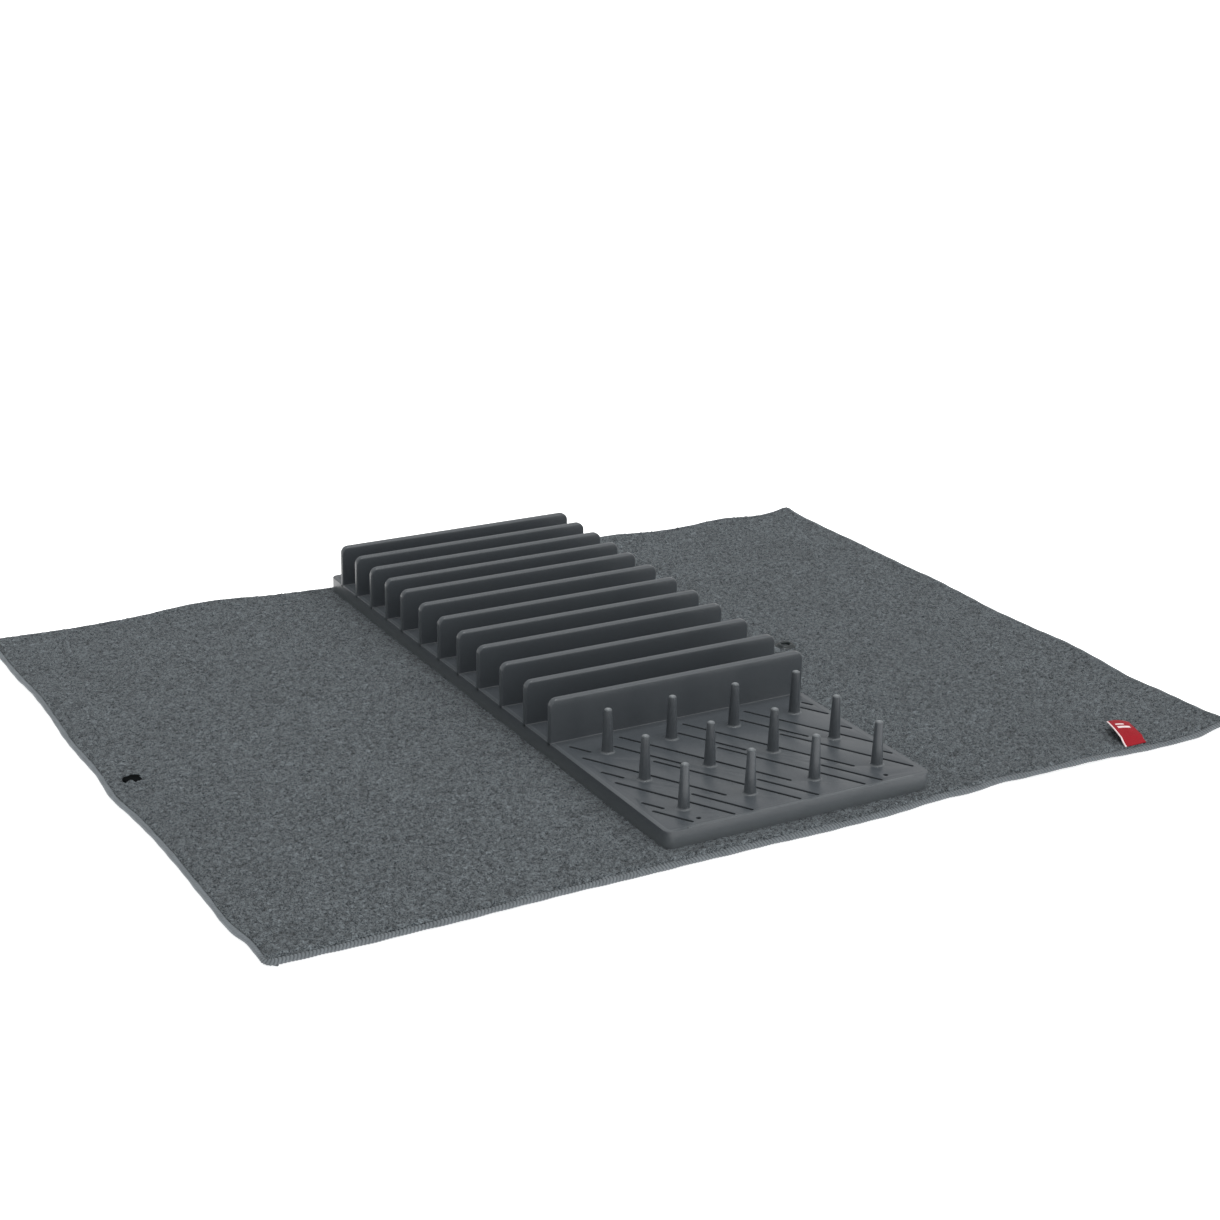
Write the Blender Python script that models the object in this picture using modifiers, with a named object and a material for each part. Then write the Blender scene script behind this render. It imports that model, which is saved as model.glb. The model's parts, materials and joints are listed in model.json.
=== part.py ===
"""Folding dish-drying mat with a moulded dish rack.

A quilted microfibre mat lies flat with a one-piece rack of plate fins and cup pegs on it. Each end of the
mat has two cross folds, one at the rack's foot and one at the rack's top, so the end stands up beside the
rack and closes over it. The left end closes first and the right end goes over it, which is why the right
riser is taller. The rack lifts straight off the mat.

Constants are in millimetres. The origin is on the table under the mat's centre: +X runs along the plate
fins, +Y runs away from the peg end and +Z is up.
"""

import math

import bmesh
import bpy
from mathutils import Matrix, Vector

MM = 0.001
GAP = 0.3  # between pieces that touch in the real object

# Mat: a terry face, a foam core and a backing cloth inside an overlocked binding
MAT_X, MAT_Y, MAT_T = 612.0, 468.0, 4.0
LAYERS = {"backing": (0.0, 1.0), "foam_core": (1.3, 2.5), "terry": (2.8, MAT_T)}
HEM = 5.0
HEM_CORNER = 10.0

# Fold lines: the foot and the top of each riser
LEFT_FOLD, LEFT_RISE = -80.0, 40.0
RIGHT_FOLD, RIGHT_RISE = 109.0, 48.0
PANELS = {
    "left_flap": (-MAT_X / 2, LEFT_FOLD - LEFT_RISE),
    "left_riser": (LEFT_FOLD - LEFT_RISE, LEFT_FOLD),
    "centre": (LEFT_FOLD, RIGHT_FOLD),
    "right_riser": (RIGHT_FOLD, RIGHT_FOLD + RIGHT_RISE),
    "right_flap": (RIGHT_FOLD + RIGHT_RISE, MAT_X / 2),
}

# Rack base
RACK_X0, RACK_X1 = -74.0, 96.0
RACK_Y0, RACK_Y1 = -219.0, 229.0
RACK_Z0 = MAT_T + GAP
DECK_TOP, DECK_T = 13.3, 2.4
SKIRT_T, RACK_CORNER = 2.4, 5.0
LIP_X0, LIP_X1, LIP_W, LIP_H = -61.0, 84.0, 2.0, 1.0
PIN_HOLE_X, PIN_HOLE_Y, PIN_HOLE_R = (-49.5, 71.3), -211.0, 1.1

# Plate fins: front faces, counted from the front, stand closer together towards the back
FIN_T, FIN_H, FIN_CORNER, FIN_EDGE = 4.2, 26.6, 5.0, 1.0
FIRST_FIN_Y = -89.5
FIN_STEPS = [30.5] * 3 + [27.3] * 4 + [24.0] * 4

# Cup pegs
PEG_X0, PEG_Y0, PEG_PITCH = -50.3, -113.4, 41.8
PEG_COLUMNS, PEG_ROWS = 4, 3
PEG_H, PEG_R_FOOT, PEG_R_LOW, PEG_R_TIP = 26.4, 4.1, 3.35, 2.2

# Drain slots lie along lines at 60 degrees to the fins. Each family is (x where its first line crosses
# SLOT_Y, lines, front end, back end), and every slot stops at the deck's side margins.
SLOT_W, SLOT_SLOPE, SLOT_Y = 1.9, math.tan(math.radians(30)), -154.0
SLOT_X0, SLOT_X1, SLOT_PITCH = -67.0, 92.0, 42.0
SLOT_FAMILIES = [
    (-44.0, 4, -193.5, -98.0),
    (-65.5, 4, -216.0, -136.0),
    (-17.0, 4, -147.0, -108.0),
    (-54.0, 4, -216.0, -183.0),
    (-33.3, 1, -110.0, -97.0),
    (-56.5, 1, -149.0, -135.0),
    (-82.3, 1, -193.0, -180.0),
    (-89.0, 1, -214.0, -192.0),
    (95.0, 1, -149.5, -142.0),
    (117.5, 1, -109.0, -102.0),
]

# Snap fastener: cap and stud on the left end, cap and socket on the right riser
LEFT_SNAP = (-292.0, -9.0)
RIGHT_SNAP = (143.0, -1.0)
SNAP_R, SOCKET_R, POST_R, POST_HOLE_R, SNAP_HOLE_R = 6.0, 6.7, 1.8, 2.6, 6.4

# Hem label, sewn into the front hem near the right corner
LABEL_X, LABEL_W, LABEL_Y0, LABEL_Y1, LABEL_T = 237.0, 15.5, -233.0, -204.0, 1.0


def clear_scene():
    for item in list(bpy.data.objects):
        bpy.data.objects.remove(item, do_unlink=True)
    for group in list(bpy.data.collections):
        bpy.data.collections.remove(group)


def collection(name):
    group = bpy.data.collections.new(name)
    bpy.context.scene.collection.children.link(group)
    return group


def material(name, colour, roughness, metallic=0.0):
    made = bpy.data.materials.new(name)
    made.use_nodes = True
    shader = made.node_tree.nodes["Principled BSDF"]
    shader.inputs["Base Color"].default_value = (*colour, 1.0)
    shader.inputs["Roughness"].default_value = roughness
    shader.inputs["Metallic"].default_value = metallic
    made.diffuse_color = (*colour, 1.0)
    return made


def empty(name, x, y, z, parent=None):
    """A pivot: the bodies of one moving panel hang from it."""
    pivot = bpy.data.objects.new(name, None)
    PARTS.objects.link(pivot)
    pivot.empty_display_size = 0.02
    pivot.location = Vector((x, y, z)) * MM
    if parent:
        pivot.parent = parent
        pivot.location -= world_place(parent)
    return pivot


def world_place(item):
    place = item.location.copy()
    while item.parent:
        item = item.parent
        place += item.location
    return place


def hang(item, parent):
    """Parents a piece to a pivot and keeps it where it stands."""
    if parent:
        item.parent = parent
        item.location -= world_place(parent)
    return item


def keep(name, mesh, finish, centre=(0, 0, 0)):
    item = bpy.data.objects.new(name, mesh)
    PARTS.objects.link(item)
    item.location = Vector(centre) * MM
    if finish and not mesh.materials:
        mesh.materials.append(finish)
    return item


def block(name, x, y, z, finish):
    """A box between the pairs x, y and z, with its origin at its centre."""
    mesh = bpy.data.meshes.new(name)
    grid = bmesh.new()
    bmesh.ops.create_cube(grid, size=1.0)
    bmesh.ops.scale(grid, vec=[(pair[1] - pair[0]) * MM for pair in (x, y, z)], verts=grid.verts)
    grid.to_mesh(mesh)
    grid.free()
    return keep(name, mesh, finish, [sum(pair) / 2 for pair in (x, y, z)])


def rounded(corners, steps=4):
    """The outline through (x, y, radius) corners, each one turned on an arc."""
    outline = []
    for i, (x, y, radius) in enumerate(corners):
        here = Vector((x, y))
        if not radius:
            outline.append(here)
            continue
        back = (Vector(corners[i - 1][:2]) - here).normalized()
        on = (Vector(corners[(i + 1) % len(corners)][:2]) - here).normalized()
        half = back.angle(on) / 2
        centre = here + (back + on).normalized() * radius / math.sin(half)
        start = here + back * radius / math.tan(half) - centre
        end = here + on * radius / math.tan(half) - centre
        first = math.atan2(start.y, start.x)
        sweep = math.remainder(math.atan2(end.y, end.x) - first, math.tau)
        for k in range(steps + 1):
            angle = first + sweep * k / steps
            outline.append(centre + radius * Vector((math.cos(angle), math.sin(angle))))
    return outline


def plate(name, outline, thickness, finish, centre=(0, 0, 0)):
    """A flat outline in XY, extruded about its own plane and made a closed mesh."""
    curve = bpy.data.curves.new(name + "_outline", "CURVE")
    curve.dimensions, curve.fill_mode = "2D", "BOTH"
    curve.extrude = thickness / 2 * MM
    spline = curve.splines.new("POLY")
    spline.points.add(len(outline) - 1)
    for point, (x, y) in zip(spline.points, outline):
        point.co = (x * MM, y * MM, 0, 1)
    spline.use_cyclic_u = True
    drawn = bpy.data.objects.new(name + "_outline", curve)
    PARTS.objects.link(drawn)
    drawn.location = Vector(centre) * MM
    bpy.context.view_layer.update()
    solid = drawn.evaluated_get(bpy.context.evaluated_depsgraph_get())
    mesh = bpy.data.meshes.new_from_object(solid)
    mesh.name = name
    grid = bmesh.new()
    grid.from_mesh(mesh)
    bmesh.ops.remove_doubles(grid, verts=grid.verts, dist=0.00001)
    bmesh.ops.dissolve_limit(grid, angle_limit=0.005, verts=grid.verts, edges=grid.edges)
    grid.to_mesh(mesh)
    grid.free()
    mesh.materials.clear()
    item = keep(name, mesh, finish)
    item.matrix_world = drawn.matrix_world
    bpy.data.objects.remove(drawn, do_unlink=True)
    return item


def turned(name, profile, finish, x, y, steps=16):
    """A turned piece: profile is (radius, z) down its outer side, top to bottom, at the column x, y."""
    mesh = bpy.data.meshes.new(name)
    points = [(radius * MM, 0, z * MM) for radius, z in profile]
    mesh.from_pydata(points, [(i, i + 1) for i in range(len(points) - 1)], [])
    item = keep(name, mesh, finish, (x, y, 0))
    spin = item.modifiers.new("turn", "SCREW")
    spin.steps = spin.render_steps = steps
    spin.use_merge_vertices, spin.merge_threshold = True, 0.00001
    return item


def cut(item, cutter):
    trim = item.modifiers.new("cut_" + cutter.name, "BOOLEAN")
    trim.object, trim.operation, trim.solver = cutter, "DIFFERENCE", "EXACT"


def as_cutter(item):
    PARTS.objects.unlink(item)
    CUTTERS.objects.link(item)
    item.hide_render, item.display_type = True, "WIRE"
    return item


def round_cutter(name, x, y, z0, z1, radius):
    return as_cutter(turned(name, [(0, z1), (radius, z1), (radius, z0), (0, z0)], None, x, y, 20))


def slot_line(x_at, y):
    """Where the slot line that crosses SLOT_Y at x_at is at depth y."""
    return x_at + (SLOT_Y - y) * SLOT_SLOPE


def clipped(x_at, front, back):
    """The stretch of a slot line between two depths that stays inside the side margins."""
    back = min(back, SLOT_Y - (SLOT_X0 - x_at) / SLOT_SLOPE)
    front = max(front, SLOT_Y - (SLOT_X1 - x_at) / SLOT_SLOPE)
    return (front, back) if back - front > 4 else None


def fin_fronts():
    fronts = [FIRST_FIN_Y]
    for step in FIN_STEPS:
        fronts.append(fronts[-1] + step)
    return fronts


def drain_slots():
    """Every slot as (x on its line, front, back): the peg area's, then those between the fins."""
    slots = []
    for first, lines, front, back in SLOT_FAMILIES:
        slots += [(first + SLOT_PITCH * k, front, back) for k in range(lines)]
    fronts = fin_fronts()
    for near, far in zip(fronts, fronts[1:]):
        front, back = near + FIN_T + 3.5, far - 3.5
        shift = (far - SLOT_Y) * SLOT_SLOPE
        first = SLOT_X0 + shift + (SLOT_PITCH - shift) % (SLOT_PITCH / 2)
        slots += [(first + SLOT_PITCH / 2 * k, front, back) for k in range(9)]
    placed = [(x_at, clipped(x_at, front, back)) for x_at, front, back in slots]
    return [(x_at, *ends) for x_at, ends in placed if ends]


def slot_cutter():
    """One cutter of many bars, each along a 60 degree line through the deck."""
    grid = bmesh.new()
    for x_at, front, back in drain_slots():
        length = (back - front) / math.cos(math.radians(30))
        middle = (front + back) / 2
        place = (
            Matrix.Translation(Vector((slot_line(x_at, middle), middle, DECK_TOP - DECK_T / 2)) * MM)
            @ Matrix.Rotation(math.radians(30), 4, "Z")
            @ Matrix.Diagonal((SLOT_W * MM, length * MM, DECK_T * 2 * MM, 1))
        )
        bmesh.ops.create_cube(grid, size=1.0, matrix=place)
    mesh = bpy.data.meshes.new("drain_slot_cutter")
    grid.to_mesh(mesh)
    grid.free()
    return as_cutter(keep("drain_slot_cutter", mesh, None))


def snap_hole(panel, layer, place, radius):
    low, high = LAYERS[layer]
    name = f"{panel}_{layer}_snap_cutter"
    cut(bpy.data.objects[f"{panel}_{layer}"], round_cutter(name, *place, low - 1, high + 1, radius))


def build_mat(pivots):
    """Three layers to each panel, and a binding round the outside in one length per panel edge."""
    half_y = MAT_Y / 2
    for panel, (x0, x1) in PANELS.items():
        pivot = pivots.get(panel)
        inner0 = x0 + (HEM + GAP if panel == "left_flap" else GAP / 2)
        inner1 = x1 - (HEM + GAP if panel == "right_flap" else GAP / 2)
        for layer, height in LAYERS.items():
            inner_y = half_y - HEM - GAP
            name = f"{panel}_{layer}"
            hang(block(name, (inner0, inner1), (-inner_y, inner_y), height, CLOTH[layer]), pivot)
        if panel.endswith("flap"):
            out, fold = (x0, x1 - GAP / 2) if panel == "left_flap" else (x1, x0 + GAP / 2)
            inside = out + math.copysign(HEM, fold - out)
            hem_y = half_y - HEM
            corners = [
                (fold, -half_y, 0), (out, -half_y, HEM_CORNER), (out, half_y, HEM_CORNER),
                (fold, half_y, 0), (fold, hem_y, 0), (inside, hem_y, 0), (inside, -hem_y, 0),
                (fold, -hem_y, 0),
            ]
            binding = plate(f"{panel}_binding", rounded(corners), MAT_T, CLOTH["binding"], (0, 0, MAT_T / 2))
            hang(binding, pivot)
            continue
        for side, y0 in (("front", -half_y), ("back", half_y - HEM)):
            name = f"{panel}_{side}_binding"
            strip = block(name, (inner0, inner1), (y0, y0 + HEM), (0, MAT_T), CLOTH["binding"])
            hang(strip, pivot)


def build_snaps(pivots):
    """The cap's post runs through the cloth; the stud or socket grips it on the other side."""
    snap_hole("left_flap", "terry", LEFT_SNAP, POST_HOLE_R)
    for layer in ("foam_core", "backing"):
        snap_hole("left_flap", layer, LEFT_SNAP, SNAP_HOLE_R)
    top, foot = MAT_T + GAP, 2.4
    cap = [(0, top + 1.1), (3.4, top + 1.0), (5.2, top + 0.7), (SNAP_R, top + 0.2), (SNAP_R, top),
           (POST_R, top), (POST_R, foot + GAP), (0, foot + GAP)]
    stud = [(0, foot), (5.3, foot), (5.3, foot - 0.8), (2.5, foot - 0.8), (2.4, 0.5), (2.0, 0.2), (0, 0.2)]
    hang(turned("left_snap_cap", cap, SNAP, *LEFT_SNAP, 24), pivots["left_flap"])
    hang(turned("left_snap_stud", stud, SNAP, *LEFT_SNAP, 24), pivots["left_flap"])

    snap_hole("right_riser", "backing", RIGHT_SNAP, SNAP_HOLE_R)
    for layer in ("foam_core", "terry"):
        snap_hole("right_riser", layer, RIGHT_SNAP, POST_HOLE_R)
    socket = [(0, top + 0.5), (2.9, top + 0.5), (2.9, top + 1.7), (4.4, top + 1.9), (5.8, top + 1.2),
              (SOCKET_R, top + 0.3), (SOCKET_R, top), (0, top)]
    under = [(0, MAT_T), (POST_R, MAT_T), (POST_R, 0.9), (SNAP_R, 0.9), (SNAP_R, 0.6), (5.0, 0.2), (0, 0.1)]
    hang(turned("right_snap_socket", socket, SNAP, *RIGHT_SNAP, 24), pivots["right_riser"])
    hang(turned("right_snap_cap", under, SNAP, *RIGHT_SNAP, 24), pivots["right_riser"])


def build_label(pivots):
    half = LABEL_W / 2
    corners = [(-half, LABEL_Y0, 0), (half, LABEL_Y0, 0), (half, LABEL_Y1, 1.5), (-half, LABEL_Y1, 1.5)]
    height = MAT_T + GAP + LABEL_T / 2
    hang(plate("hem_label", rounded(corners), LABEL_T, LABEL, (LABEL_X, 0, height)), pivots["right_flap"])


def build_base(pivot):
    """The deck with its slots, pin holes and front lip, on a skirt in four lengths."""
    middle_x, middle_y = (RACK_X0 + RACK_X1) / 2, (RACK_Y0 + RACK_Y1) / 2
    x0, x1, y0, y1 = RACK_X0, RACK_X1, RACK_Y0, RACK_Y1
    outline = rounded([(x, y, RACK_CORNER) for x, y in ((x0, y0), (x1, y0), (x1, y1), (x0, y1))], 5)
    deck = plate("rack_deck", outline, DECK_T, PLASTIC, (0, 0, DECK_TOP - DECK_T / 2))
    lip = block("front_lip", (LIP_X0, LIP_X1), (y0 + 0.4, y0 + 0.4 + LIP_W),
                (DECK_TOP - 1, DECK_TOP + LIP_H), None)
    join = deck.modifiers.new("front_lip", "BOOLEAN")
    join.object, join.operation, join.solver = as_cutter(lip), "UNION", "EXACT"
    cut(deck, slot_cutter())
    for i, x in enumerate(PIN_HOLE_X):
        name = f"pin_hole_cutter_{i + 1}"
        cut(deck, round_cutter(name, x, PIN_HOLE_Y, DECK_TOP - DECK_T - 1, DECK_TOP + 1, PIN_HOLE_R))
    hang(deck, pivot)

    low, high = RACK_Z0, DECK_TOP - DECK_T - GAP
    reach, wall, bend = 14.0, SKIRT_T, RACK_CORNER
    for name, edge, inward in (("rack_skirt_front", y0, 1), ("rack_skirt_back", y1, -1)):
        end, inner = edge + inward * reach, edge + inward * wall
        corners = [(x0, end, 0), (x0, edge, bend), (x1, edge, bend), (x1, end, 0), (x1 - wall, end, 0),
                   (x1 - wall, inner, bend - wall), (x0 + wall, inner, bend - wall), (x0 + wall, end, 0)]
        hang(plate(name, rounded(corners), high - low, PLASTIC, (0, 0, (low + high) / 2)), pivot)
    span = (y0 + reach + GAP, y1 - reach - GAP)
    hang(block("rack_skirt_left", (x0, x0 + wall), span, (low, high), PLASTIC), pivot)
    hang(block("rack_skirt_right", (x1 - wall, x1), span, (low, high), PLASTIC), pivot)


def build_fins(pivot):
    """Upright plates across the deck, with round top corners and eased edges."""
    half = (RACK_X1 - RACK_X0) / 2
    foot, top = DECK_TOP + GAP, DECK_TOP + FIN_H
    corners = [(-half, foot, 0), (half, foot, 0), (half, top, FIN_CORNER), (-half, top, FIN_CORNER)]
    middle = (RACK_X0 + RACK_X1) / 2
    mesh = None
    for i, front in enumerate(fin_fronts()):
        name = f"plate_fin_{i + 1:02d}"
        if mesh is None:
            fin = plate(name, rounded(corners, 5), FIN_T, PLASTIC)
            mesh = fin.data
        else:
            fin = keep(name, mesh, PLASTIC)
        fin.location = Vector((middle, front + FIN_T / 2, 0)) * MM
        fin.rotation_euler = (math.pi / 2, 0, 0)
        ease = fin.modifiers.new("eased_edges", "BEVEL")
        ease.width, ease.segments, ease.limit_method = FIN_EDGE * MM, 2, "ANGLE"
        ease.angle_limit = math.radians(50)
        hang(fin, pivot)


def build_pegs(pivot):
    """Tapered pegs with a flared foot and a round tip."""
    foot, top = DECK_TOP + GAP, DECK_TOP + PEG_H
    profile = [(0, top)]
    for angle in (30, 60, 90):
        turn = math.radians(angle)
        profile.append((PEG_R_TIP * math.sin(turn), top - PEG_R_TIP * (1 - math.cos(turn))))
    profile += [(PEG_R_LOW, foot + 2.5), (PEG_R_LOW + 0.2, foot + 1.0), (PEG_R_FOOT, foot), (0, foot)]
    mesh = None
    for row in range(PEG_ROWS):
        for column in range(PEG_COLUMNS):
            name = f"cup_peg_{row * PEG_COLUMNS + column + 1:02d}"
            x, y = PEG_X0 + PEG_PITCH * column, PEG_Y0 - PEG_PITCH * row
            peg = turned(name, profile, PLASTIC, x, y)
            if mesh:
                peg.data = mesh
            mesh = peg.data
            hang(peg, pivot)


def shade(angle=35):
    for item in PARTS.objects:
        if item.type == "MESH":
            item.data.shade_smooth()
            item.data.set_sharp_from_angle(angle=math.radians(angle))


clear_scene()
PARTS = collection("dish_drying_mat")
CUTTERS = collection("cutters")
CLOTH = {
    "terry": material("terry_pile", (0.095, 0.105, 0.114), 0.95),
    "foam_core": material("foam_core", (0.42, 0.41, 0.38), 0.9),
    "backing": material("backing_cloth", (0.085, 0.094, 0.102), 0.9),
    "binding": material("binding_thread", (0.135, 0.15, 0.158), 0.6),
}
PLASTIC = material("rack_plastic", (0.062, 0.07, 0.074), 0.5)
SNAP = material("snap_plastic", (0.012, 0.014, 0.014), 0.35)
LABEL = material("label_weave", (0.42, 0.012, 0.025), 0.6)

left_riser = empty("left_riser_pivot", LEFT_FOLD, 0, MAT_T)
left_flap = empty("left_flap_pivot", LEFT_FOLD - LEFT_RISE, 0, MAT_T, left_riser)
right_riser = empty("right_riser_pivot", RIGHT_FOLD, 0, MAT_T)
right_flap = empty("right_flap_pivot", RIGHT_FOLD + RIGHT_RISE, 0, MAT_T, right_riser)
rack = empty("rack_lift", (RACK_X0 + RACK_X1) / 2, (RACK_Y0 + RACK_Y1) / 2, RACK_Z0)
folds = {"left_riser": left_riser, "left_flap": left_flap,
         "right_riser": right_riser, "right_flap": right_flap}

build_mat(folds)
build_snaps(folds)
build_label(folds)
build_base(rack)
build_fins(rack)
build_pegs(rack)
shade()
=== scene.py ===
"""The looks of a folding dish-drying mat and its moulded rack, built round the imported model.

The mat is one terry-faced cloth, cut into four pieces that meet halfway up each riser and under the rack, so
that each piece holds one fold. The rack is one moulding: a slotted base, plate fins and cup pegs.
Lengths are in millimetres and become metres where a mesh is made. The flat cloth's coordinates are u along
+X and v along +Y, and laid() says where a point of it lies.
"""

import json
import math

import bmesh
import bpy
import numpy as np
from mathutils import Matrix, Vector


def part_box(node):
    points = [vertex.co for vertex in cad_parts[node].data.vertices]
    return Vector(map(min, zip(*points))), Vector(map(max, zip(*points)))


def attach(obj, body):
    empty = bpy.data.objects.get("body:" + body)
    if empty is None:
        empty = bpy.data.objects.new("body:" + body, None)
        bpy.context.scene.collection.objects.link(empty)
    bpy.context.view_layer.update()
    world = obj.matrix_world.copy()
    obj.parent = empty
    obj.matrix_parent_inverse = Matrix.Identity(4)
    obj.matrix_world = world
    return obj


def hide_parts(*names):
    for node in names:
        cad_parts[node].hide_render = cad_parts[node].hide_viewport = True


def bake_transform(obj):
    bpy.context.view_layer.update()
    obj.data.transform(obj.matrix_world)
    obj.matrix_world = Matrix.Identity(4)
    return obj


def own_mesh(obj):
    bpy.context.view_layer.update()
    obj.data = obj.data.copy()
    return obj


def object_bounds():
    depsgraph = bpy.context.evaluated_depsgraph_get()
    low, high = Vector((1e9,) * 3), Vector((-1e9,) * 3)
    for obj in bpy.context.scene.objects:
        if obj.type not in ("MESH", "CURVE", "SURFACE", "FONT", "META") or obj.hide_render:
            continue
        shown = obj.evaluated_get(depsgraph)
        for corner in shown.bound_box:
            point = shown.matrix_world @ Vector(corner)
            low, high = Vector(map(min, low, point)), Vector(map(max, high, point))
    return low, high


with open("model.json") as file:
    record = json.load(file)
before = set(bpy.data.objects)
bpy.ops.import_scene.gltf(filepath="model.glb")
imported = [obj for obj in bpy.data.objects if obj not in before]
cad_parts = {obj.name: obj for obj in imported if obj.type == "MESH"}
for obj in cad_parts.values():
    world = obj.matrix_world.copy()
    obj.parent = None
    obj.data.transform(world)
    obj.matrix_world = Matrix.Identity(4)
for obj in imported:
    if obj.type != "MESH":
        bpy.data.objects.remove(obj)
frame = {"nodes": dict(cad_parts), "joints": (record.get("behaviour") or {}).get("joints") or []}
cad_low, cad_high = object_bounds()

MM = 0.001


def node_box(name):
    """The low and high corners of a CAD node, in millimetres."""
    low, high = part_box(name)
    return low / MM, high / MM


def joint_x(name):
    """Where a fold line crosses X, in millimetres."""
    return next(joint["pos_m"][0] for joint in frame["joints"] if joint["name"] == name) / MM


# Mat: half its sides, its hem's width and height, and where its layers lie
HALF_X, HALF_Y = cad_high.x / MM, cad_high.y / MM
CORNER_R = 6.5
HEM_W, HEM_H, HEM_SLIM = 3.7, 2.9, 0.95
HEM_GAP, STITCH = 0.15, 2.0
PILE_Z, PILE_EDGE = 4.2, 2.8
CORE_Z, BACKING_GAP, BACKING_Z = 1.5, 0.1, 0.15
SEAM_LEFT, SEAM_MIDDLE, SEAM_RIGHT = -100.0, 0.0, 133.0
BEND = 5.0

# Rack: its nodes' boxes, and the base's outline, whose front face stands proud by FRONT_PROUD
BASE_LOW, BASE_HIGH = node_box("rack_skirt_front")[0], node_box("rack_skirt_back")[1]
FINS = [node_box(f"plate_fin_{i:02d}") for i in range(1, 13)]
PEGS = [node_box(f"cup_peg_{i:02d}") for i in range(1, 13)]
DECK_TOP = FINS[0][0].z - 0.3
FRONT_PROUD = 1.0
RACK_X0, RACK_X1, RACK_Y0, RACK_Y1 = BASE_LOW.x, BASE_HIGH.x, BASE_LOW.y - FRONT_PROUD, BASE_HIGH.y
# The rack's skirt sinks this far into the pile
SINK = 2.2

# Camera: its place in metres, its angles in degrees, its sensor and lens in millimetres
CAMERA_AT = (-0.6475, -1.1682, 0.5473)
CAMERA_ANGLES = (-29.52, 20.33, 1.01)
SENSOR, LENS = 36.0, 69.38

# Studio: lights as (name, direction, softness in degrees, power), and the floor's own measures in metres
WORLD_LIGHT = 0.64
LIGHTS = [("key", (0.45, -0.55, 0.70), 70, 1.30), ("overhead", (0.05, 0.10, 1.0), 18, 1.15)]
FLOOR_REACH, FLOOR_Z, FLOOR_GREY, FLOOR_GLOW = 12.0, -0.0004, 0.93, 0.75


# ---------------------------------------------------------------- camera, light and floor

def build_camera():
    azimuth, elevation, roll = (math.radians(angle) for angle in CAMERA_ANGLES)
    back = Vector((math.sin(azimuth) * math.cos(elevation), -math.cos(azimuth) * math.cos(elevation),
                   math.sin(elevation)))
    level = (-back).cross(Vector((0, 0, 1))).normalized()
    upward = level.cross(-back)
    right = math.cos(roll) * level + math.sin(roll) * upward
    up = math.cos(roll) * upward - math.sin(roll) * level
    lens = bpy.data.cameras.new("camera")
    lens.sensor_width, lens.lens = SENSOR, LENS
    lens.clip_start, lens.clip_end = 0.05, 50.0
    camera = bpy.data.objects.new("camera", lens)
    camera.matrix_world = Matrix((right, up, back)).transposed().to_4x4()
    camera.location = CAMERA_AT
    bpy.context.scene.collection.objects.link(camera)
    bpy.context.scene.camera = camera


def sky_light(name, towards, angle, power):
    """A distant soft light that stands in the given direction; its angle in degrees is how soft it is."""
    lamp = bpy.data.lights.new(name, "SUN")
    lamp.angle, lamp.energy = math.radians(angle), power
    item = bpy.data.objects.new(name, lamp)
    item.rotation_euler = Vector(towards).to_track_quat("Z", "Y").to_euler()
    bpy.context.scene.collection.objects.link(item)


def build_studio():
    scene = bpy.context.scene
    scene.view_settings.view_transform = "Standard"
    scene.view_settings.look = "None"
    world = bpy.data.worlds.new("studio")
    world.use_nodes = True
    world.node_tree.nodes["Background"].inputs["Color"].default_value = (1.0, 1.0, 1.0, 1.0)
    world.node_tree.nodes["Background"].inputs["Strength"].default_value = WORLD_LIGHT
    scene.world = world
    for light in LIGHTS:
        sky_light(*light)

    grid = bmesh.new()
    bmesh.ops.create_grid(grid, x_segments=1, y_segments=1, size=FLOOR_REACH)
    mesh = bpy.data.meshes.new("floor")
    grid.to_mesh(mesh)
    grid.free()
    floor = bpy.data.objects.new("floor", mesh)
    floor.location.z = FLOOR_Z
    scene.collection.objects.link(floor)
    paint = bpy.data.materials.new("floor")
    paint.use_nodes = True
    shader = paint.node_tree.nodes["Principled BSDF"]
    shader.inputs["Base Color"].default_value = (FLOOR_GREY, FLOOR_GREY, FLOOR_GREY, 1)
    shader.inputs["Roughness"].default_value = 0.9
    shader.inputs["Emission Color"].default_value = (1, 1, 1, 1)
    shader.inputs["Emission Strength"].default_value = FLOOR_GLOW
    mesh.materials.append(paint)


# ---------------------------------------------------------------- materials

def node(tree, kind, inputs=None, **settings):
    """A shader node with its settings, and its inputs from values or sockets."""
    made = tree.nodes.new("ShaderNode" + kind)
    for name, value in settings.items():
        setattr(made, name, value)
    for key, value in (inputs or {}).items():
        if isinstance(value, bpy.types.NodeSocket):
            tree.links.new(value, made.inputs[key])
        else:
            made.inputs[key].default_value = value
    return made


def material(name, **values):
    """A Principled material with fixed values; underscores stand for the spaces in socket names."""
    made = bpy.data.materials.new(name)
    made.use_nodes = True
    tree = made.node_tree
    shader = tree.nodes["Principled BSDF"]
    for key, value in values.items():
        shader.inputs[key.replace("_", " ")].default_value = value
    return made, tree, shader


def noise(tree, place, scale, detail, rough=0.5, distort=0.0):
    return node(tree, "TexNoise", {"Vector": place, "Scale": scale, "Detail": detail,
                                   "Roughness": rough, "Distortion": distort}).outputs["Fac"]


def ramp(tree, factor, *stops):
    """A colour ramp; each stop is (position, grey or colour)."""
    made = node(tree, "ValToRGB", {"Fac": factor})
    points = made.color_ramp.elements
    while len(points) < len(stops):
        points.new(0.5)
    for point, (at, colour) in zip(points, stops):
        point.position = at
        point.color = (*colour, 1) if isinstance(colour, tuple) else (colour, colour, colour, 1)
    return made.outputs["Color"]


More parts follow.
